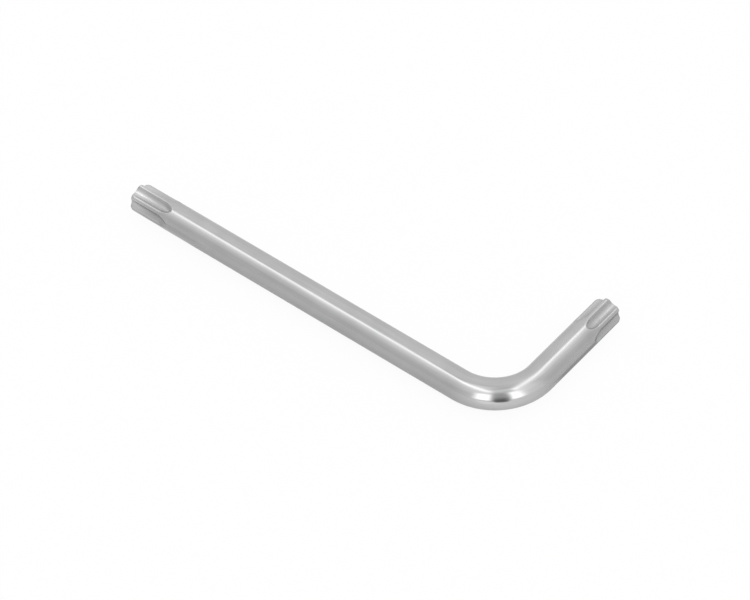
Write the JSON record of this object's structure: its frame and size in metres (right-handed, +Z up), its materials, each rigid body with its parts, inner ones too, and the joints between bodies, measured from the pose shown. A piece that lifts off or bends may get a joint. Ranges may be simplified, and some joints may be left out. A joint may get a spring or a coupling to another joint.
{
  "type": "star key",
  "caption": "L-shaped star key bent from round plated steel bar, with a fluted star drive tip on its long arm and on its short arm, for turning star socket screws.",
  "frame": {"origin": "under the middle of the key's box, on the surface that the key lies on", "axes": "+X runs along the long arm from its tip towards the bend, +Y along the short arm from the bend towards its tip, +Z up"},
  "size_m": [0.1, 0.0382, 0.0066],
  "materials": {
    "plated_steel": "satin plated steel"
  },
  "bodies": {
    "root": {"long_tip": "plated_steel", "long_arm": "plated_steel", "bend": "plated_steel", "short_arm": "plated_steel", "short_tip": "plated_steel"}
  },
  "joints": []
}
